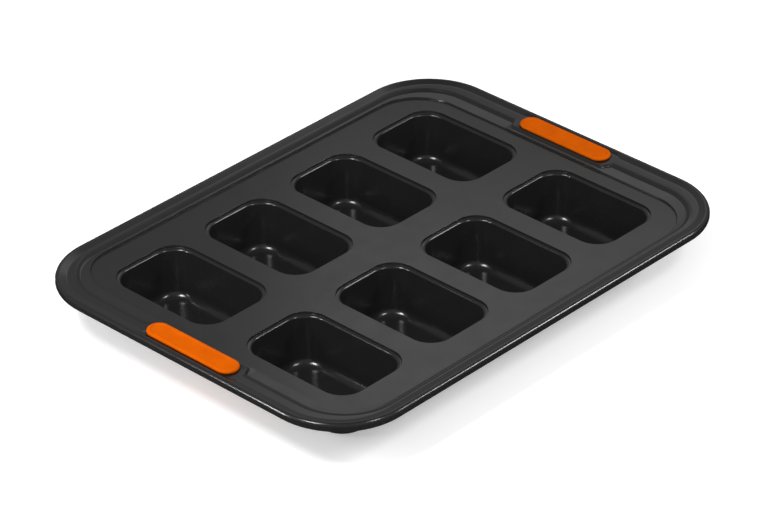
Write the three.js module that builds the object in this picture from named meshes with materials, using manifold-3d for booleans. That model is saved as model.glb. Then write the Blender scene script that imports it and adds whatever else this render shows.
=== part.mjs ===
// Mini loaf cake pan: eight loaf cups drawn in one steel sheet, a wired rolled edge and two silicone grips.
// X runs along the pan from grip to grip, Y across it, and Z up from the surface that the cups stand on.
import * as THREE from 'three';
import { mergeVertices } from 'three/addons/utils/BufferGeometryUtils.js';
import Module from 'manifold-3d';

// Driving dimensions in millimetres and degrees

// Sheet and layout of the cups
const sheet = 0.9;
const cupsAlong = 4;
const cupsAcross = 2;
const mouthAlong = 65.4;
const mouthAcross = 96.6;
const mouthCorner = 17;
const webAlong = 18.6;
const webAcross = 26.2;
const deckMarginEnds = 13.1;
const deckMarginSides = 21.7;

// Cup, from the deck down: a small step, a narrow ring, a rounded lip, a drafted wall and a filleted floor
const cupDepth = 36;
const mouthStepDrop = 1.2;
const mouthStepRun = 0.3;
const mouthRing = 1.1;
const lipRadius = 1.7;
const wallDraft = 5.5;
const floorFillet = 6.5;
const floorCorner = 8;

// Border round the deck: a steep step up to a ledge, a ramp up to a ridge, a flange and the rolled bead
const deckCorner = 35;
const ledgeRise = 2.8;
const ledgeStepRun = 0.3;
const ledgeEnds = 7.9;
const ledgeSides = 1.1;
const rampRise = 1.9;
const rampSlope = 40;
const rampFillet = 2.8;
const ridgeRun = 2;
const ridgeDrop = 0.3;
const flangeSides = 0.9;
const beadSlope = 16;
const beadRadius = 2.8;
const beadRise = 1.5;
const beadCorner = 52;
const curlEnd = -170;

// Wire inside the rolled bead
const wireClearance = 0.3;

// Silicone grips: each is pushed through a slot in the flat pad at one end, and holds the sheet in a groove
const gripLength = 79.2;
const gripWidth = 16.7;
const gripProud = 2.6;
const gripUnder = 2.2;
const gripEdgeRadius = 1.5;
const gripPanelMargin = 2.4;
const gripPanelDepth = 0.35;
const gripPanelSlope = 0.5;
const gripHold = 2.2;
const gripClearance = 0.3;

// Level pads that the grips sit on, where the ramp steps back towards the deck
const ledgePads = 1.1;
const padGap = 0.5;
const padMargin = 1.2;
const padFade = 3;
const padBeadSlope = 40;

// Fineness of the round stretches
const cupCornerSteps = 4;
const borderCornerSteps = 8;
const lipSteps = 3;
const filletSteps = 3;
const rampSteps = 2;
const padFadeSteps = 3;
const beadStepAngle = 29;
const wireSides = 8;
const gripEndSteps = 10;
const gripEdgeSteps = 3;

const radians = THREE.MathUtils.degToRad;

// Heights that follow from the driving dimensions
const deckTop = sheet + cupDepth;
const ledgeTop = deckTop + ledgeRise;
const flangeTop = ledgeTop + rampRise - ridgeDrop;
const beadCentre = flangeTop + beadRise - beadRadius;

// Half sizes of the deck
const deckHalfLength = (cupsAlong * mouthAlong + (cupsAlong - 1) * webAlong) / 2 + deckMarginEnds;
const deckHalfWidth = (cupsAcross * mouthAcross + (cupsAcross - 1) * webAcross) / 2 + deckMarginSides;

// Width of a ramp that starts with a fillet
function rampRun(rise) {
  const slope = radians(rampSlope);
  const filletRise = rampFillet * (1 - Math.cos(slope));
  return rampFillet * Math.sin(slope) + (rise - filletRise) / Math.tan(slope);
}

// Distance from the flange's edge to the middle of the bead, for a straight run up at an angle
function beadApproach(slopeAngle) {
  const slope = radians(slopeAngle);
  const straightRise = beadRise - beadRadius * (1 - Math.cos(slope));
  return beadRadius * Math.sin(slope) + straightRise / Math.tan(slope);
}

// The border in section at the sides, at the pads and at the rest of the ends. The pads' width comes from the
// grips, and the flange at the rest of the ends fills the same width.
const sidesSection = { ledge: ledgeSides, drop: ridgeDrop, flange: flangeSides, slope: beadSlope };
const padsSection = { ledge: ledgePads, drop: 0, flange: gripWidth + 2 * padGap - ridgeRun, slope: padBeadSlope };
const beadOffsetEnds = beadOffset(padsSection);
const beadOffsetSides = beadOffset(sidesSection);
const endsSection = { ledge: ledgeEnds, drop: ridgeDrop, flange: 0, slope: beadSlope };
endsSection.flange = beadOffsetEnds - beadOffset(endsSection);

// Distance from the deck edge to the middle of the bead
function beadOffset({ ledge, drop, flange, slope }) {
  const ramp = rampRun(flangeTop + drop - ledgeTop);
  return ledgeStepRun + ledge + ramp + ridgeRun + flange + beadApproach(slope);
}

// The grips lie in the middle of the pads
const padEdge = deckHalfLength + beadOffsetEnds - beadApproach(padBeadSlope);
const gripX = padEdge - padGap - gripWidth / 2;
const padHalf = gripLength / 2 + padMargin;

// A body collected triangle by triangle, then merged into one closed geometry
class Skin {
  positions = [];

  triangle(a, b, c) {
    this.positions.push(...a, ...b, ...c);
  }

  // Joins two rings of equal length. The face looks up where the second ring lies outside the first.
  stitch(inner, outer) {
    inner.forEach((point, i) => {
      const next = (i + 1) % inner.length;
      this.triangle(point, outer[i], outer[next]);
      this.triangle(point, outer[next], inner[next]);
    });
  }

  stitchAll(rings) {
    for (let i = 0; i + 1 < rings.length; i += 1) {
      this.stitch(rings[i], rings[i + 1]);
    }
  }

  // Fills a flat ring, with holes if any, facing up or down
  fill(ring, holes, facesUp) {
    const all = [ring, ...holes].flat();
    const flat = (points) => points.map(([x, y]) => new THREE.Vector2(x, y));
    const faces = THREE.ShapeUtils.triangulateShape(flat(ring), holes.map(flat));
    faces.forEach(([i, j, k]) => {
      const [a, b, c] = [all[i], all[j], all[k]];
      const turn = (b[0] - a[0]) * (c[1] - a[1]) - (b[1] - a[1]) * (c[0] - a[0]);
      if (turn > 0 === facesUp) {
        this.triangle(a, b, c);
      } else {
        this.triangle(a, c, b);
      }
    });
  }

  geometry() {
    const soup = new THREE.BufferGeometry();
    soup.setAttribute('position', new THREE.Float32BufferAttribute(this.positions, 3));
    return mergeVertices(soup, 1e-4);
  }
}

// The corners of a rounded rectangle in the order that a ring passes them, each with its first angle
const corners = [
  { x: 1, y: 1, from: 0 },
  { x: -1, y: 1, from: 90 },
  { x: -1, y: -1, from: 180 },
  { x: 1, y: -1, from: 270 },
];

function cornerPoints(corner, halfX, halfY, radius, z, steps) {
  return Array.from({ length: steps + 1 }, (_, i) => {
    const angle = radians(corner.from + (90 * i) / steps);
    return [
      corner.x * (halfX - radius) + radius * Math.cos(angle),
      corner.y * (halfY - radius) + radius * Math.sin(angle),
      z,
    ];
  });
}

// Moves each point of an open profile by a distance square to the profile, to the right of its direction
function offsetProfile(profile, distance) {
  const directions = profile.slice(1).map(([u, z], i) => {
    const along = new THREE.Vector2(u - profile[i][0], z - profile[i][1]);
    return along.normalize();
  });
  return profile.map(([u, z], i) => {
    const before = directions[Math.max(i - 1, 0)];
    const after = directions[Math.min(i, directions.length - 1)];
    const right = new THREE.Vector2(before.y + after.y, -before.x - after.x).normalize();
    const mitre = distance / (right.x * after.y - right.y * after.x);
    return [u + right.x * mitre, z + right.y * mitre];
  });
}

// Cup profile as [inset from the mouth, height], from the deck edge to the edge of the flat floor
function cupProfile() {
  const draft = radians(wallDraft);
  const stepFoot = deckTop - mouthStepDrop;
  const ringEnd = mouthStepRun + mouthRing;
  const points = [[0, deckTop], [mouthStepRun, stepFoot]];
  for (let i = 0; i <= lipSteps; i += 1) {
    const angle = ((Math.PI / 2 - draft) * i) / lipSteps;
    points.push([ringEnd + lipRadius * Math.sin(angle), stepFoot - lipRadius * (1 - Math.cos(angle))]);
  }
  const [lipInset, lipHeight] = points[points.length - 1];
  const filletCentre = sheet + floorFillet;
  const wallFoot = filletCentre - floorFillet * Math.sin(draft);
  const footInset = lipInset + (lipHeight - wallFoot) * Math.tan(draft);
  const centreInset = footInset + floorFillet * Math.cos(draft);
  for (let i = 0; i <= filletSteps; i += 1) {
    const angle = draft + ((Math.PI / 2 - draft) * i) / filletSteps;
    points.push([centreInset - floorFillet * Math.cos(angle), filletCentre - floorFillet * Math.sin(angle)]);
  }
  return points;
}

// Rings of a cup's upper face or of a face moved off it. The corner radius shrinks from the mouth's to the floor's.
function cupRings(profile, upperProfile, centre) {
  const floorInset = upperProfile.at(-1)[0];
  return profile.map(([inset, z], i) => {
    const upperInset = upperProfile[i][0];
    const upperRadius = THREE.MathUtils.lerp(mouthCorner, floorCorner, upperInset / floorInset);
    const radius = upperRadius + upperInset - inset;
    const size = [mouthAlong / 2 - inset, mouthAcross / 2 - inset, radius];
    const ring = corners.flatMap((corner) => cornerPoints(corner, ...size, z, cupCornerSteps));
    return ring.map(([x, y]) => [x + centre[0], y + centre[1], z]);
  });
}

function cupCentres() {
  const centres = [];
  for (let row = 0; row < cupsAcross; row += 1) {
    for (let column = 0; column < cupsAlong; column += 1) {
      centres.push([
        (column - (cupsAlong - 1) / 2) * (mouthAlong + webAlong),
        (row - (cupsAcross - 1) / 2) * (mouthAcross + webAcross),
      ]);
    }
  }
  return centres;
}

// Border profile as [distance outside the deck edge, height] for one section of the border
function borderProfile({ ledge, drop, flange, slope }) {
  const ridgeTop = flangeTop + drop;
  const rampStart = ledgeStepRun + ledge;
  const rampEnd = rampStart + rampRun(ridgeTop - ledgeTop);
  const flangeStart = rampEnd + ridgeRun;
  const approach = flangeStart + flange;
  const middle = approach + beadApproach(slope);
  const points = [[0, deckTop], [ledgeStepRun, ledgeTop]];
  for (let i = 0; i <= rampSteps; i += 1) {
    const angle = radians((rampSlope * i) / rampSteps);
    points.push([rampStart + rampFillet * Math.sin(angle), ledgeTop + rampFillet * (1 - Math.cos(angle))]);
  }
  points.push([rampEnd, ridgeTop], [flangeStart, flangeTop], [approach, flangeTop]);
  const start = 90 + slope;
  const steps = Math.ceil((90 + beadSlope - curlEnd) / beadStepAngle);
  for (let i = 0; i <= steps; i += 1) {
    const angle = radians(start + ((curlEnd - start) * i) / steps);
    points.push([middle + beadRadius * Math.cos(angle), beadCentre + beadRadius * Math.sin(angle)]);
  }
  return points;
}

// Half sizes and corner radius of a ring that lies outside the deck edge by one distance at the ends and
// by another at the sides. The corner radius grows from the deck's to the bead's.
function borderRing(outEnds, outSides) {
  const share = outSides / beadOffsetSides;
  const radius = THREE.MathUtils.lerp(deckCorner, beadCorner, share);
  return [deckHalfLength + outEnds, deckHalfWidth + outSides, radius];
}

// Places along one end of the pan where the border turns into the pad, from one side of the grip to the other
const fading = Array.from({ length: padFadeSteps + 1 }, (_, i) => {
  const share = i / padFadeSteps;
  return { y: padHalf + padFade * (1 - share), pad: THREE.MathUtils.smoothstep(share, 0, 1) };
});
const padStations = [...fading, ...fading.toReversed().map(({ y, pad }) => ({ y: -y, pad }))];

// Points of one border ring. Its distance outside the deck edge and its height can differ at the pads.
function borderRingPoints([halfX, halfY, radius], z, padX, padZ) {
  const corner = (i) => cornerPoints(corners[i], halfX, halfY, radius, z, borderCornerSteps);
  const end = (side) => padStations.map(({ y, pad }) => {
    const x = THREE.MathUtils.lerp(halfX, padX, pad);
    return [side * x, -side * y, THREE.MathUtils.lerp(z, padZ, pad)];
  });
  return [...corner(0), ...corner(1), ...end(-1), ...corner(2), ...corner(3), ...end(1)];
}

// Rings of the border's upper or lower face, from the deck edge to the free edge of the curl
function borderRings(offset) {
  const [ends, sides, pads] = [endsSection, sidesSection, padsSection].map((section) => {
    return offsetProfile(borderProfile(section), offset);
  });
  return sides.map(([outSides, z], i) => {
    const [outPads, padZ] = pads[i];
    return borderRingPoints(borderRing(ends[i][0], outSides), z, deckHalfLength + outPads, padZ);
  });
}

// One pressed sheet: an upper and a lower face that meet only at the free edge of the curl
function panBody(wasm) {
  const skin = new Skin();
  const upper = borderRings(0);
  const lower = borderRings(sheet);
  skin.stitchAll([...upper, ...lower.toReversed()]);
  const upperMouths = [];
  const lowerMouths = [];
  const profile = cupProfile();
  const lowerProfile = offsetProfile([...profile, [mouthAlong, sheet]], sheet).slice(0, -1);
  lowerProfile[0][1] = deckTop - sheet;
  cupCentres().forEach((centre) => {
    const inside = cupRings(profile, profile, centre);
    const outside = cupRings(lowerProfile, profile, centre);
    skin.stitchAll(inside.toReversed());
    skin.stitchAll(outside);
    skin.fill(inside.at(-1), [], true);
    skin.fill(outside.at(-1), [], false);
    upperMouths.push(inside[0]);
    lowerMouths.push(outside[0]);
  });
  skin.fill(upper[0], upperMouths, true);
  skin.fill(lower[0], lowerMouths, false);
  const slots = [-1, 1].map((side) => toManifold(wasm, gripSlot(side)));
  const slotted = slots.reduce((body, slot) => body.subtract(slot), toManifold(wasm, skin.geometry()));
  return fromManifold(slotted);
}

// Outline with two round ends, drawn in from the grip's own outline by an inset
function gripRing(inset, z, x) {
  const radius = gripWidth / 2 - inset;
  const endCentre = (gripLength - gripWidth) / 2;
  const half = (side) => Array.from({ length: gripEndSteps + 1 }, (_, i) => {
    const angle = (Math.PI * i) / gripEndSteps;
    const along = side * (endCentre + radius * Math.sin(angle));
    return [x + side * radius * Math.cos(angle), along, z];
  });
  return [...half(1), ...half(-1)];
}

function prism(rings) {
  const skin = new Skin();
  skin.fill(rings[0], [], false);
  skin.stitchAll(rings.toReversed());
  skin.fill(rings.at(-1), [], true);
  return skin.geometry();
}

// The slot is wider than the grip's neck by the clearance
function gripSlot(side) {
  const inset = gripHold - gripClearance;
  return prism([gripRing(inset, deckTop, side * gripX), gripRing(inset, flangeTop + beadRadius, side * gripX)]);
}

// Grip from its underside up: lower lip, neck through the slot, upper lip, rounded edge and shallow panel
function grip(side) {
  const lowerLipTop = flangeTop - sheet - gripClearance;
  const bottom = lowerLipTop - gripUnder;
  const upperLip = flangeTop + gripClearance;
  const top = flangeTop + gripProud;
  const levels = [];
  for (let i = 0; i <= gripEdgeSteps; i += 1) {
    const angle = (Math.PI / 2 * i) / gripEdgeSteps;
    const inset = gripEdgeRadius * (1 - Math.sin(angle));
    levels.push([inset, bottom + gripEdgeRadius * (1 - Math.cos(angle))]);
  }
  levels.push([0, lowerLipTop], [gripHold, lowerLipTop], [gripHold, upperLip], [0, upperLip]);
  for (let i = 0; i <= gripEdgeSteps; i += 1) {
    const angle = (Math.PI / 2 * i) / gripEdgeSteps;
    const inset = gripEdgeRadius * (1 - Math.cos(angle));
    levels.push([inset, top - gripEdgeRadius * (1 - Math.sin(angle))]);
  }
  levels.push([gripPanelMargin, top], [gripPanelMargin + gripPanelSlope, top - gripPanelDepth]);
  return prism(levels.map(([inset, z]) => gripRing(inset, z, side * gripX)));
}

// Closed loop of wire that fills the bead, less its clearance
function rimWire() {
  const skin = new Skin();
  const radius = beadRadius - sheet - wireClearance;
  const rings = Array.from({ length: wireSides + 1 }, (_, i) => {
    const angle = (-2 * Math.PI * (i % wireSides)) / wireSides;
    const out = radius * Math.cos(angle);
    const size = borderRing(beadOffsetEnds, beadOffsetSides).map((value) => value + out);
    const z = beadCentre + radius * Math.sin(angle);
    return borderRingPoints(size, z, size[0], z);
  });
  skin.stitchAll(rings);
  return skin.geometry();
}

function toManifold(wasm, geometry) {
  return new wasm.Manifold(new wasm.Mesh({
    numProp: 3,
    vertProperties: new Float32Array(geometry.attributes.position.array),
    triVerts: new Uint32Array(geometry.index.array),
  }));
}

function fromManifold(solid) {
  const { vertProperties, triVerts } = solid.getMesh();
  const geometry = new THREE.BufferGeometry();
  geometry.setAttribute('position', new THREE.BufferAttribute(vertProperties, 3));
  geometry.setIndex(new THREE.BufferAttribute(triVerts, 1));
  return geometry;
}

const coatedSteel = new THREE.MeshStandardMaterial({ color: 0x3c3d3f, roughness: 0.42, metalness: 0.35 });
const bareSteel = new THREE.MeshStandardMaterial({ color: 0x8d9094, roughness: 0.4, metalness: 1 });
const silicone = new THREE.MeshStandardMaterial({ color: 0xe2650a, roughness: 0.55, metalness: 0 });

const wasm = await Module();
wasm.setup();

const pan = new THREE.Group();

function addPart(name, geometry, material) {
  const mesh = new THREE.Mesh(geometry, material);
  mesh.name = name;
  pan.add(mesh);
}

addPart('pan_body', panBody(wasm), coatedSteel);
addPart('rim_wire', rimWire(), bareSteel);
addPart('left_grip', grip(-1), silicone);
addPart('right_grip', grip(1), silicone.clone());

export default pan;
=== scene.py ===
import math

import bpy
import numpy as np
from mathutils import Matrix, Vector
from mathutils.geometry import delaunay_2d_cdt


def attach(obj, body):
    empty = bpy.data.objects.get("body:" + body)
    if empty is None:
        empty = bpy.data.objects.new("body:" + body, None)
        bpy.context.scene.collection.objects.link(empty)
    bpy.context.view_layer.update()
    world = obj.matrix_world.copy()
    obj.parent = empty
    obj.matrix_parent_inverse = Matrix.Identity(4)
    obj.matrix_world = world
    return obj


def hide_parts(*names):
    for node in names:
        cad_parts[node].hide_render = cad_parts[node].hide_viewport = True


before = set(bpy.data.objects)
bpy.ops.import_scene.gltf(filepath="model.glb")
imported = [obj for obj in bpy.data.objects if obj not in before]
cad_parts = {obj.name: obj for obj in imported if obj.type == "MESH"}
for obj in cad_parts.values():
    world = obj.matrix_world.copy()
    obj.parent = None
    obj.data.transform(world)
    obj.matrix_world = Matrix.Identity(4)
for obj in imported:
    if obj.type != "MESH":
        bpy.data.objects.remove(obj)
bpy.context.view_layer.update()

# Metres in a millimetre
METRE = 0.001

# Sizes of the pan in millimetres and degrees, as in the CAD model
SHEET = 0.9
CUPS_ALONG = 4
CUPS_ACROSS = 2
MOUTH_ALONG = 65.4
MOUTH_ACROSS = 96.6
MOUTH_CORNER = 17
MOUTH_STEP_RUN = 0.3
WEB_ALONG = 18.6
WEB_ACROSS = 26.2
LIP_RADIUS = 1.7
WALL_DRAFT = 5.5
FLOOR_FILLET = 6.5
DECK_CORNER = 35
LEDGE_ENDS = 7.9
LEDGE_SIDES = 1.1
LEDGE_PADS = 1.1
RAMP_RISE = 1.9
RAMP_SLOPE = 40
RAMP_FILLET = 2.8
RIDGE_RUN = 2
RIDGE_DROP = 0.3
FLANGE_SIDES = 0.9
BEAD_SLOPE = 16
BEAD_RADIUS = 2.8
BEAD_RISE = 1.5
CURL_END = -170
GRIP_LENGTH = 79.2
GRIP_WIDTH = 16.7
GRIP_PROUD = 2.6
GRIP_UNDER = 2.2
GRIP_EDGE_RADIUS = 1.5
GRIP_PANEL_MARGIN = 2.4
GRIP_PANEL_SLOPE = 0.5
GRIP_HOLD = 2.2
GRIP_CLEARANCE = 0.3
PAD_GAP = 0.5
PAD_MARGIN = 1.2
PAD_BEAD_SLOPE = 40

# Sizes that differ from the CAD model, read from a closer comparison with the photograph
CUP_DEPTH = 37.2
MOUTH_STEP_DROP = 1.5
MOUTH_RING = 0.4
FLOOR_CORNER = 16
DECK_MARGIN_ENDS = 12.9
DECK_MARGIN_SIDES = 21.5
LEDGE_RISE = 1.6
LEDGE_STEP_RUN = 0.5
LEDGE_TILT = 3
BEAD_CORNER = 50
CURL_SKIRT = 1.2
GRIP_PANEL_DEPTH = 0.6
PAD_FADE = 5

# Bend radii that the CAD model draws as plain edges, and the smallest radius that a bend keeps
MOUTH_EDGE_BEND = 0.1
MOUTH_FOOT_BEND = 0.08
LEDGE_FOOT_BEND = 0.08
LEDGE_EDGE_BEND = 0.08
RIDGE_BEND = 0.6
APPROACH_BEND = 5
PANEL_BEND = 0.2
SHARPEST_BEND = 0.05

# Level strips at the ends of the profiles, which belong to the flat faces next to them
DECK_STRIP = 1
PANEL_STRIP = 1

# Fineness of the round stretches
BEND_STEPS = 5
LIP_STEPS = 8
FILLET_STEPS = 14
RAMP_STEPS = 8
BEAD_STEPS = 40
CUP_CORNER_STEPS = 18
BORDER_CORNER_STEPS = 40
RIDGE_STEPS = 7
FADE_STEPS = 8
GRIP_END_STEPS = 40
GRIP_EDGE_STEPS = 8

# Heights and half sizes that follow from them
deck_top = SHEET + CUP_DEPTH
ledge_top = deck_top + LEDGE_RISE
flange_top = ledge_top + RAMP_RISE - RIDGE_DROP
bead_centre = flange_top + BEAD_RISE - BEAD_RADIUS
deck_half_length = (CUPS_ALONG * MOUTH_ALONG + (CUPS_ALONG - 1) * WEB_ALONG) / 2 + DECK_MARGIN_ENDS
deck_half_width = (CUPS_ACROSS * MOUTH_ACROSS + (CUPS_ACROSS - 1) * WEB_ACROSS) / 2 + DECK_MARGIN_SIDES


def tangent_run(radius, rise, angle):
    """Length of a rise that is an arc at one end and straight at an angle from there on."""
    slope = math.radians(angle)
    return radius * math.sin(slope) + (rise - radius * (1 - math.cos(slope))) / math.tan(slope)


def bead_offset(ledge, drop, flange, slope):
    """Distance of the bead's centre outside the deck edge, for one section of the border."""
    ramp_run = tangent_run(RAMP_FILLET, flange_top + drop - ledge_top, RAMP_SLOPE)
    bead_run = tangent_run(BEAD_RADIUS, BEAD_RISE, slope)
    return LEDGE_STEP_RUN + ledge + ramp_run + RIDGE_RUN + flange + bead_run


# Sections of the border: ledge width, drop behind the ridge, flange width, slope up to the bead
SIDES = (LEDGE_SIDES, RIDGE_DROP, FLANGE_SIDES, BEAD_SLOPE)
PADS = (LEDGE_PADS, 0, GRIP_WIDTH + 2 * PAD_GAP - RIDGE_RUN, PAD_BEAD_SLOPE)
flange_ends = bead_offset(*PADS) - bead_offset(LEDGE_ENDS, RIDGE_DROP, 0, BEAD_SLOPE)
ENDS = (LEDGE_ENDS, RIDGE_DROP, flange_ends, BEAD_SLOPE)
bead_offset_sides = bead_offset(*SIDES)
pad_edge = deck_half_length + bead_offset(*PADS) - tangent_run(BEAD_RADIUS, BEAD_RISE, PAD_BEAD_SLOPE)
grip_x = pad_edge - PAD_GAP - GRIP_WIDTH / 2
pad_half = GRIP_LENGTH / 2 + PAD_MARGIN

# How flat faces are filled: only inside the outline, and points closer than this are one
FILL_WITHIN = 1
MERGE_DISTANCE = 1e-6

# How much a large face outweighs a small one in the shading of the edge between them, in percent
FLATS_WEIGHT = 100


def is_between(loops, place):
    """Whether a place lies inside an odd number of closed loops of flat points."""
    x, y = place
    starts = np.vstack(loops)
    ends = np.vstack([np.roll(loop, -1, axis=0) for loop in loops])
    passed = (starts[:, 1] > y) != (ends[:, 1] > y)
    start, end = starts[passed], ends[passed]
    share = (y - start[:, 1]) / (end[:, 1] - start[:, 1])
    return np.count_nonzero(start[:, 0] + share * (end[:, 0] - start[:, 0]) > x) % 2 == 1


class Skin:
    """A mesh collected from rings of points, in millimetres."""

    def __init__(self):
        self.points = []
        self.faces = []

    def ring(self, points):
        """Adds points and returns their indices."""
        first = len(self.points)
        self.points.extend(tuple(p) for p in points)
        return list(range(first, len(self.points)))

    def stitch(self, inner, outer, skipped=()):
        """Joins two rings of equal length, facing up where the second lies outside the first."""
        for i, _ in enumerate(inner):
            following = (i + 1) % len(inner)
            if i not in skipped:
                self.faces.append((inner[i], outer[i], outer[following], inner[following]))

    def stitch_all(self, rings):
        for inner, outer in zip(rings, rings[1:]):
            self.stitch(inner, outer)

    def fill(self, outline, holes, faces_up):
        """Fills a level outline, with holes if any, facing up or down."""
        loops = [outline, *holes]
        every = [index for loop in loops for index in loop]
        spots = {index: spot for spot, index in enumerate(every)}
        edges = [(spots[a], spots[b]) for loop in loops for a, b in zip(loop, loop[1:] + loop[:1])]
        flat = [Vector(self.points[index][:2]) for index in every]
        filled = delaunay_2d_cdt(flat, edges, [], FILL_WITHIN, MERGE_DISTANCE)
        _, _, triangles, sources, _, _ = filled
        outlines = [np.array([self.points[index][:2] for index in loop]) for loop in loops]
        for corners in triangles:
            face = [every[sources[corner][0]] for corner in corners]
            middle = np.mean([self.points[index][:2] for index in face], axis=0)
            if is_between(outlines, middle):
                self.faces.append(face if faces_up else face[::-1])

    def piece(self, name, material):
        """Makes the mesh an object in metres, shaded smooth with its flat faces kept flat."""
        mesh = bpy.data.meshes.new(name)
        mesh.from_pydata([Vector(p) * METRE for p in self.points], [], self.faces)
        mesh.validate()
        mesh.polygons.foreach_set("use_smooth", [True] * len(mesh.polygons))
        mesh.materials.append(material)
        made = bpy.data.objects.new(name, mesh)
        bpy.context.scene.collection.objects.link(made)
        flats_first = made.modifiers.new("flats_first", "WEIGHTED_NORMAL")
        flats_first.mode = "FACE_AREA"
        flats_first.weight = FLATS_WEIGHT
        return made


# Profiles: lists of (distance, height)

def turned(vector, angle):
    """A flat vector turned to the left by an angle in radians."""
    c = math.cos(angle)
    s = math.sin(angle)
    return np.array([c * vector[0] - s * vector[1], s * vector[0] + c * vector[1]])


def folded(corners, bends, thickness):
    """A profile through corners, moved by a thickness to its right.
    Its inner corners are rounded by bends, each a radius and a number of steps."""
    points = np.array(corners, float)
    along = np.diff(points, axis=0)
    along /= np.linalg.norm(along, axis=1)[:, None]
    right = np.column_stack([along[:, 1], -along[:, 0]])
    profile = [points[0] + right[0] * thickness]
    for i, (radius, steps) in enumerate(bends, start=1):
        before, after = right[i - 1], right[i]
        bisector = (before + after) / np.linalg.norm(before + after)
        corner = points[i] + bisector * thickness / (bisector @ before)
        turn = math.atan2(before[0] * after[1] - before[1] * after[0], before @ after)
        side = math.copysign(1, turn)
        bend = max(radius + side * thickness, SHARPEST_BEND)
        centre = corner - bisector * side * bend / math.cos(turn / 2)
        for angle in np.linspace(0, turn, steps + 1):
            profile.append(centre + side * bend * turned(before, angle))
    profile.append(points[-1] + right[-1] * thickness)
    return profile


def arc(centre, radius, first, last, steps):
    """Points of an arc between two angles in degrees."""
    angles = np.radians(np.linspace(first, last, steps + 1))
    return [(centre[0] + radius * math.cos(a), centre[1] + radius * math.sin(a)) for a in angles]


def ease(share):
    """A share from 0 to 1 that starts and ends gently."""
    return share * share * (3 - 2 * share)


def cup_profile(thickness):
    """From the deck to the edge of the flat floor, as (inset from the mouth, height)."""
    draft = math.radians(WALL_DRAFT)
    step_foot = deck_top - MOUTH_STEP_DROP
    lip = MOUTH_STEP_RUN + MOUTH_RING + LIP_RADIUS * math.tan(math.pi / 4 - draft / 2)
    wall_foot = lip + (step_foot - SHEET) * math.tan(draft)
    edge = [(-DECK_STRIP, deck_top), (0, deck_top), (MOUTH_STEP_RUN, step_foot)]
    wall = [(lip, step_foot), (wall_foot, SHEET), (wall_foot + 2 * FLOOR_FILLET, SHEET)]
    edge_bends = [(MOUTH_EDGE_BEND, BEND_STEPS), (MOUTH_FOOT_BEND, BEND_STEPS)]
    wall_bends = [(LIP_RADIUS, LIP_STEPS), (FLOOR_FILLET, FILLET_STEPS)]
    return folded(edge + wall, edge_bends + wall_bends, thickness)[:-1]


def border_profile(section, thickness):
    """From the deck to the free edge of the curl, as (distance outside the deck edge, height),
    with the ends of the stretch that is level at the pads."""
    ledge, drop, flange, slope = section
    ridge_top = flange_top + drop
    ramp_start = LEDGE_STEP_RUN + ledge
    ramp_corner = ramp_start + RAMP_FILLET * math.tan(math.radians(RAMP_SLOPE) / 2)
    ridge = ramp_start + tangent_run(RAMP_FILLET, ridge_top - ledge_top, RAMP_SLOPE)
    flange_start = ridge + RIDGE_RUN
    approach = flange_start + flange
    centre = (approach + tangent_run(BEAD_RADIUS, BEAD_RISE, slope), bead_centre)
    lean = math.radians(slope)
    touch = (centre[0] - BEAD_RADIUS * math.sin(lean), bead_centre + BEAD_RADIUS * math.cos(lean))
    ledge_edge = ledge_top - ledge * math.tan(math.radians(LEDGE_TILT))
    step = [(-DECK_STRIP, deck_top), (0, deck_top), (LEDGE_STEP_RUN, ledge_edge)]
    ramp_up = [(ramp_corner, ledge_top), (ridge, ridge_top), (flange_start, ridge_top)]
    step_bends = [(LEDGE_FOOT_BEND, BEND_STEPS), (LEDGE_EDGE_BEND, BEND_STEPS)]
    ramp_bends = [(RAMP_FILLET, RAMP_STEPS), (RIDGE_BEND, BEND_STEPS)]
    rise = folded(step + ramp_up, step_bends + ramp_bends, thickness)[:-1]
    behind = []
    for share in np.linspace(0, 1, RIDGE_STEPS + 1)[1:-1]:
        distance = rise[-1][0] + (flange_start - rise[-1][0]) * share
        behind.append((distance, ridge_top - drop * ease(share) - thickness))
    turn = [(flange_start, flange_top), (approach, flange_top), touch]
    level = folded(turn, [(APPROACH_BEND, BEND_STEPS)], thickness)[:-1]
    curl = arc(centre, BEAD_RADIUS - thickness, 90 + slope, CURL_END, BEAD_STEPS)
    bead = [(out, z if z >= bead_centre else z - CURL_SKIRT) for out, z in curl]
    first = len(rise) - 1
    return rise + behind + level + bead, (first, first + len(behind) + 2)


# Rings round the pan

# Corners of a ring: side along the pan, side across it, first angle
CORNERS = ((1, 1, 0), (-1, 1, 90), (-1, -1, 180), (1, -1, 270))


def corner_points(corner, half_x, half_y, radius, steps):
    """Points round one corner of a rounded rectangle."""
    side_x, side_y, first = corner
    centre = (side_x * (half_x - radius), side_y * (half_y - radius))
    return arc(centre, radius, first, first + 90, steps)


def pad_stations():
    """Places along one end of the pan where the border fades into the flat pad, with its share."""
    shares = np.linspace(0, 1, FADE_STEPS + 1)
    fading = [(pad_half + PAD_FADE * (1 - share), ease(share)) for share in shares]
    return fading + [(-y, share) for y, share in reversed(fading)]


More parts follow.
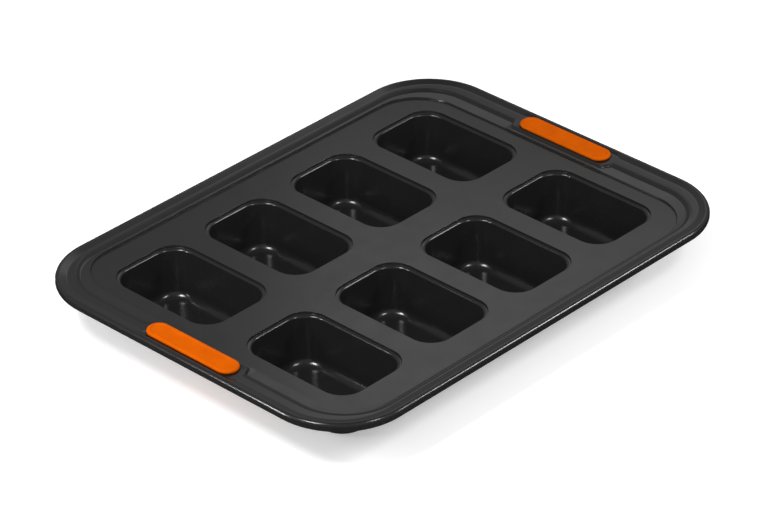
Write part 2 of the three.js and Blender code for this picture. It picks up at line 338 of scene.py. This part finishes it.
def border_ring(at_sides, at_ends, at_pads):
    """One ring outside the deck edge, through a point of each section of the border."""
    out_sides, side_height = at_sides
    out_ends, end_height = at_ends
    half_x = deck_half_length + out_ends
    half_y = deck_half_width + out_sides
    radius = DECK_CORNER + (BEAD_CORNER - DECK_CORNER) * out_sides / bead_offset_sides
    pad_out, pad_up = np.array(at_pads) - np.array(at_ends)
    end_to_side = np.linspace(end_height, side_height, BORDER_CORNER_STEPS + 1)
    ring = []
    for corner in CORNERS:
        side_x, side_y, _ = corner
        runs_to_end = side_x != side_y
        heights = end_to_side[::-1] if runs_to_end else end_to_side
        around = corner_points(corner, half_x, half_y, radius, BORDER_CORNER_STEPS)
        ring += [(x, y, height) for (x, y), height in zip(around, heights)]
        if runs_to_end:
            for y, share in pad_stations():
                x = side_x * (half_x + pad_out * share)
                ring.append((x, -side_x * y, end_height + pad_up * share))
    return ring


def pad_gaps():
    """Indices of the two steps of a border ring that cross the flat pads."""
    corner = BORDER_CORNER_STEPS + 1
    stations = 2 * (FADE_STEPS + 1)
    first = 2 * corner + FADE_STEPS
    return first, first + stations + 2 * corner


def border_rings(skin, thickness):
    """Rings of the border's upper or lower face, from the deck edge to the free edge of the curl,
    with the first and last ring of the stretch that is level at the pads."""
    sides, level = border_profile(SIDES, thickness)
    ends, _ = border_profile(ENDS, thickness)
    pads, _ = border_profile(PADS, thickness)
    return [skin.ring(border_ring(*points)) for points in zip(sides, ends, pads)], level


def cup_rings(skin, thickness, centre):
    """Rings of a cup's inner or outer face. The corner radius changes from the mouth to the floor."""
    upper = cup_profile(0)
    floor_inset = upper[-1][0]
    rings = []
    for (upper_inset, _), (inset, height) in zip(upper, cup_profile(thickness)):
        upper_radius = MOUTH_CORNER + (FLOOR_CORNER - MOUTH_CORNER) * upper_inset / floor_inset
        radius = upper_radius + upper_inset - inset
        half_x = MOUTH_ALONG / 2 - inset
        half_y = MOUTH_ACROSS / 2 - inset
        ring = []
        for corner in CORNERS:
            around = corner_points(corner, half_x, half_y, radius, CUP_CORNER_STEPS)
            ring += [(centre[0] + x, centre[1] + y, height) for x, y in around]
        rings.append(skin.ring(ring))
    return rings


def cup_centres():
    """Centres of the cups, row by row."""
    for row in range(CUPS_ACROSS):
        for column in range(CUPS_ALONG):
            x = (column - (CUPS_ALONG - 1) / 2) * (MOUTH_ALONG + WEB_ALONG)
            y = (row - (CUPS_ACROSS - 1) / 2) * (MOUTH_ACROSS + WEB_ACROSS)
            yield x, y


def grip_outline(inset, height, x):
    """Outline with two round ends, drawn in from the grip's own outline by an inset."""
    radius = GRIP_WIDTH / 2 - inset
    end_centre = (GRIP_LENGTH - GRIP_WIDTH) / 2
    ring = []
    for side in (1, -1):
        for angle in np.linspace(0, math.pi, GRIP_END_STEPS + 1):
            along = side * (end_centre + radius * math.sin(angle))
            ring.append((x + side * radius * math.cos(angle), along, height))
    return ring


def fill_pad(skin, rings, gap, side, faces_up):
    """Fills one face of a flat pad round the grip's slot, and returns the slot's ring."""
    height = flange_top if faces_up else flange_top - SHEET
    pad = [ring[gap] for ring in rings]
    pad += [ring[gap + 1] for ring in reversed(rings)]
    slot = skin.ring(grip_outline(GRIP_HOLD - GRIP_CLEARANCE, height, side * grip_x))
    skin.fill(pad, [slot], faces_up)
    return slot


def add_border(skin):
    """Adds both faces of the border with its pads, and returns the rings at the deck edge."""
    upper, (first, last) = border_rings(skin, 0)
    lower, _ = border_rings(skin, SHEET)
    gaps = pad_gaps()
    for i in range(len(upper) - 1):
        skipped = gaps if first <= i < last else ()
        skin.stitch(upper[i], upper[i + 1], skipped)
        skin.stitch(lower[i + 1], lower[i], skipped)
    skin.stitch(upper[-1], lower[-1])
    for gap, side in zip(gaps, (-1, 1)):
        upper_slot = fill_pad(skin, upper[first:last + 1], gap, side, True)
        lower_slot = fill_pad(skin, lower[first:last + 1], gap, side, False)
        skin.stitch(lower_slot, upper_slot)
    return upper[0], lower[0]


def add_cup(skin, centre):
    """Adds both faces of a cup, and returns the rings at its mouth."""
    inside = cup_rings(skin, 0, centre)
    outside = cup_rings(skin, SHEET, centre)
    skin.stitch_all(inside[::-1])
    skin.stitch_all(outside)
    skin.fill(inside[-1], [], True)
    skin.fill(outside[-1], [], False)
    return inside[0], outside[0]


def pan_sheet(material):
    """The whole sheet: border, cups and the deck between them."""
    skin = Skin()
    deck_edge, under_edge = add_border(skin)
    mouths, under_mouths = zip(*[add_cup(skin, centre) for centre in cup_centres()])
    skin.fill(deck_edge, mouths, True)
    skin.fill(under_edge, under_mouths, False)
    return skin.piece("pan_sheet", material)


def grip_profile():
    """From the underside up, as (inset, height): lower lip, neck in the slot, upper lip, panel."""
    lower_lip = flange_top - SHEET - GRIP_CLEARANCE
    bottom = lower_lip - GRIP_UNDER
    upper_lip = flange_top + GRIP_CLEARANCE
    top = flange_top + GRIP_PROUD
    under_centre = (GRIP_EDGE_RADIUS, bottom + GRIP_EDGE_RADIUS)
    over_centre = (GRIP_EDGE_RADIUS, top - GRIP_EDGE_RADIUS)
    under = arc(under_centre, GRIP_EDGE_RADIUS, 270, 180, GRIP_EDGE_STEPS)
    over = arc(over_centre, GRIP_EDGE_RADIUS, 180, 90, GRIP_EDGE_STEPS)
    neck = [(0, lower_lip), (GRIP_HOLD, lower_lip), (GRIP_HOLD, upper_lip), (0, upper_lip)]
    panel_start = (GRIP_PANEL_MARGIN, top)
    panel_foot = (GRIP_PANEL_MARGIN + GRIP_PANEL_SLOPE, top - GRIP_PANEL_DEPTH)
    panel_in = (panel_foot[0] + PANEL_STRIP, panel_foot[1])
    panel_bends = [(PANEL_BEND, BEND_STEPS)] * 2
    panel = folded([over[-1], panel_start, panel_foot, panel_in], panel_bends, 0)[1:]
    return under + neck + over + panel


def grip(name, side, material):
    """The grip at one end of the pan: side is 1 at the right end and -1 at the left."""
    skin = Skin()
    outlines = [grip_outline(inset, height, side * grip_x) for inset, height in grip_profile()]
    rings = [skin.ring(outline) for outline in outlines]
    skin.stitch_all(rings[::-1])
    skin.fill(rings[0], [], False)
    skin.fill(rings[-1], [], True)
    return skin.piece(name, material)


# Materials

# Each noise: cells per metre and octaves
COAT_FLECKS = (2600, 2)
COAT_CLOUDS = (60, 3)
STEEL_GRAIN = (1800, 4)
SILICONE_GRAIN = (1500, 3)
SILICONE_CLOUDS = (90, 2)

# Values of a noise between which a colour or a roughness changes
NOISE_VALUES = (0.3, 0.7)
FLECK_VALUES = (0.35, 0.7)

# Depth of the bumps in metres, and how strongly they show
BUMP_DEPTH = 0.0001
COAT_BUMP = 0.03
SILICONE_BUMP = 0.1

COAT_DARK = (0.009, 0.009, 0.009)
COAT_LIGHT = (0.0145, 0.0145, 0.0145)
COAT_ROUGH = (0.17, 0.23)
COAT_SPECULAR = 0.5
STEEL_DARK = (0.36, 0.37, 0.39)
STEEL_LIGHT = (0.56, 0.57, 0.59)
STEEL_ROUGH = (0.3, 0.45)
SILICONE_DARK = (0.5, 0.08, 0.0001)
SILICONE_LIGHT = (0.57, 0.094, 0.0002)
SILICONE_ROUGH = (0.42, 0.55)
SILICONE_SPECULAR = 0.02
FLOOR_COLOUR = (0.9, 0.9, 0.9)
FLOOR_ROUGH = 0.9
FLOOR_GLOW = 0.36


def new_material(name):
    """A material with its nodes, its links and its shader."""
    material = bpy.data.materials.new(name)
    material.use_nodes = True
    nodes = material.node_tree.nodes
    return material, nodes, material.node_tree.links, nodes["Principled BSDF"]


def noise(nodes, links, scale, detail):
    """Noise in the object's own coordinates, which are metres."""
    place = nodes.new("ShaderNodeTexCoord")
    made = nodes.new("ShaderNodeTexNoise")
    made.inputs["Scale"].default_value = scale
    made.inputs["Detail"].default_value = detail
    links.new(place.outputs["Object"], made.inputs["Vector"])
    return made.outputs["Fac"]


def tint(nodes, links, value, between, colours):
    """A colour that runs between two colours while a value runs between two others."""
    made = nodes.new("ShaderNodeValToRGB")
    for element, position, colour in zip(made.color_ramp.elements, between, colours):
        element.position = position
        element.color = (*colour, 1)
    links.new(value, made.inputs["Fac"])
    return made.outputs["Color"]


def spread(nodes, links, value, between, onto):
    """A value between two limits, stretched onto two others."""
    made = nodes.new("ShaderNodeMapRange")
    made.inputs["From Min"].default_value, made.inputs["From Max"].default_value = between
    made.inputs["To Min"].default_value, made.inputs["To Max"].default_value = onto
    links.new(value, made.inputs["Value"])
    return made.outputs["Result"]


def bump(nodes, links, value, strength):
    """A normal that follows the height of a value."""
    made = nodes.new("ShaderNodeBump")
    made.inputs["Strength"].default_value = strength
    made.inputs["Distance"].default_value = BUMP_DEPTH
    links.new(value, made.inputs["Height"])
    return made.outputs["Normal"]


def nonstick_coat():
    """Satin dark grey with fine flecks."""
    material, nodes, links, shader = new_material("nonstick_coat")
    fleck = noise(nodes, links, *COAT_FLECKS)
    cloud = noise(nodes, links, *COAT_CLOUDS)
    colour = tint(nodes, links, fleck, FLECK_VALUES, (COAT_DARK, COAT_LIGHT))
    links.new(colour, shader.inputs["Base Color"])
    links.new(spread(nodes, links, cloud, NOISE_VALUES, COAT_ROUGH), shader.inputs["Roughness"])
    links.new(bump(nodes, links, fleck, COAT_BUMP), shader.inputs["Normal"])
    shader.inputs["Specular IOR Level"].default_value = COAT_SPECULAR
    return material


def steel_wire():
    """Bare drawn steel."""
    material, nodes, links, shader = new_material("steel_wire")
    grain = noise(nodes, links, *STEEL_GRAIN)
    colour = tint(nodes, links, grain, NOISE_VALUES, (STEEL_DARK, STEEL_LIGHT))
    links.new(colour, shader.inputs["Base Color"])
    links.new(spread(nodes, links, grain, NOISE_VALUES, STEEL_ROUGH), shader.inputs["Roughness"])
    shader.inputs["Metallic"].default_value = 1
    return material


def orange_silicone():
    """Satin orange with a faint grain."""
    material, nodes, links, shader = new_material("orange_silicone")
    grain = noise(nodes, links, *SILICONE_GRAIN)
    cloud = noise(nodes, links, *SILICONE_CLOUDS)
    colour = tint(nodes, links, cloud, NOISE_VALUES, (SILICONE_DARK, SILICONE_LIGHT))
    links.new(colour, shader.inputs["Base Color"])
    links.new(spread(nodes, links, grain, NOISE_VALUES, SILICONE_ROUGH), shader.inputs["Roughness"])
    links.new(bump(nodes, links, grain, SILICONE_BUMP), shader.inputs["Normal"])
    shader.inputs["Specular IOR Level"].default_value = SILICONE_SPECULAR
    return material


def pale_floor():
    """Plain white with a little glow of its own, which softens the shadows."""
    material, _, _, shader = new_material("pale_floor")
    shader.inputs["Base Color"].default_value = (*FLOOR_COLOUR, 1)
    shader.inputs["Roughness"].default_value = FLOOR_ROUGH
    shader.inputs["Emission Color"].default_value = (1, 1, 1, 1)
    shader.inputs["Emission Strength"].default_value = FLOOR_GLOW
    shader.inputs["Specular IOR Level"].default_value = 0
    return material


# Stage, lights and camera, in metres and degrees

FLOOR_HALF = 40
CAMERA_AZIMUTH = -47.06
CAMERA_ELEVATION = 31.706
CAMERA_DISTANCE = 2.6785
CAMERA_TARGET = Vector((-0.01156, -0.00671, 0.03787))
CAMERA_LENS = 186.7
SENSOR_WIDTH = 36

# Brightness of the room at elevations: dark below the horizon, pale walls, dim ceiling
ROOM = ((-90, 0.03), (0, 0.03), (2, 0.16), (25, 0.27), (52, 0.27), (66, 0.08), (90, 0.08))

# Each light: azimuth and elevation as the camera's, distance, width, height, power in watts,
# and whether it is seen in reflections
LIGHTS = {
    "back_box": (118, 39, 2, 1.1, 0.55, 1.2, True),
    "right_box": (46.5, 33, 1.6, 0.3, 0.25, 7, True),
    "left_box": (-90, 54, 1.4, 0.3, 0.3, 10, True),
    "front_box": (6, 52, 1.4, 0.2, 0.2, 3.5, True),
    "rear_left_box": (-109, 23.8, 0.633, 0.07, 0.12, 1, True),
    "fill_box": (0, 85, 2, 2, 2, 4, False),
    "front_fill": (-47, 38, 2.4, 2, 1.2, 16, False),
}


def direction(azimuth, elevation):
    """From the pan towards an azimuth, which is 0 in front and grows to the right, and an elevation."""
    a = math.radians(azimuth)
    e = math.radians(elevation)
    return Vector((math.sin(a) * math.cos(e), -math.cos(a) * math.cos(e), math.sin(e)))


def set_stage():
    """The floor that the pan stands on."""
    mesh = bpy.data.meshes.new("floor")
    corners = [(x * FLOOR_HALF, y * FLOOR_HALF, 0) for x, y in ((-1, -1), (1, -1), (1, 1), (-1, 1))]
    mesh.from_pydata(corners, [], [(0, 1, 2, 3)])
    mesh.materials.append(pale_floor())
    floor = bpy.data.objects.new("floor", mesh)
    bpy.context.scene.collection.objects.link(floor)
    floor.visible_glossy = False


def set_room():
    """Light from all round, which changes with the elevation only."""
    world = bpy.data.worlds.new("room")
    world.use_nodes = True
    nodes = world.node_tree.nodes
    links = world.node_tree.links
    place = nodes.new("ShaderNodeTexCoord")
    split = nodes.new("ShaderNodeSeparateXYZ")
    links.new(place.outputs["Generated"], split.inputs["Vector"])
    shades = nodes.new("ShaderNodeValToRGB")
    stops = shades.color_ramp.elements
    for _ in ROOM[len(stops):]:
        stops.new(0.5)
    for stop, (elevation, light) in zip(stops, ROOM):
        stop.position = (1 + math.sin(math.radians(elevation))) / 2
        stop.color = (light, light, light, 1)
    links.new(spread(nodes, links, split.outputs["Z"], (-1, 1), (0, 1)), shades.inputs["Fac"])
    links.new(shades.outputs["Color"], nodes["Background"].inputs["Color"])
    bpy.context.scene.world = world


def set_lights():
    for name, (azimuth, elevation, distance, width, height, power, mirrored) in LIGHTS.items():
        lamp = bpy.data.lights.new(name, "AREA")
        lamp.shape = "RECTANGLE"
        lamp.size = width
        lamp.size_y = height
        lamp.energy = power
        lamp_object = bpy.data.objects.new(name, lamp)
        back = direction(azimuth, elevation)
        lamp_object.location = back * distance
        lamp_object.rotation_mode = "QUATERNION"
        lamp_object.rotation_quaternion = (-back).to_track_quat("-Z", "Y")
        lamp_object.visible_glossy = mirrored
        lamp_object.visible_camera = False
        bpy.context.scene.collection.objects.link(lamp_object)


def set_camera():
    lens = bpy.data.cameras.new("camera")
    lens.lens = CAMERA_LENS
    lens.sensor_fit = "HORIZONTAL"
    lens.sensor_width = SENSOR_WIDTH
    camera = bpy.data.objects.new("camera", lens)
    back = direction(CAMERA_AZIMUTH, CAMERA_ELEVATION)
    camera.location = CAMERA_TARGET + back * CAMERA_DISTANCE
    camera.rotation_mode = "QUATERNION"
    camera.rotation_quaternion = (-back).to_track_quat("-Z", "Y")
    bpy.context.scene.collection.objects.link(camera)
    bpy.context.scene.camera = camera


set_stage()
set_room()
set_lights()
set_camera()
bpy.context.scene.view_settings.view_transform = "Standard"

sheet = pan_sheet(nonstick_coat())
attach(sheet, "root")
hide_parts("pan_body")

silicone = orange_silicone()
for node, side in (("left_grip", -1), ("right_grip", 1)):
    piece = grip("silicone_" + node, side, silicone)
    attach(piece, "root")
    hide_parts(node)

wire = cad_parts["rim_wire"]
wire.data.materials.clear()
wire.data.materials.append(steel_wire())
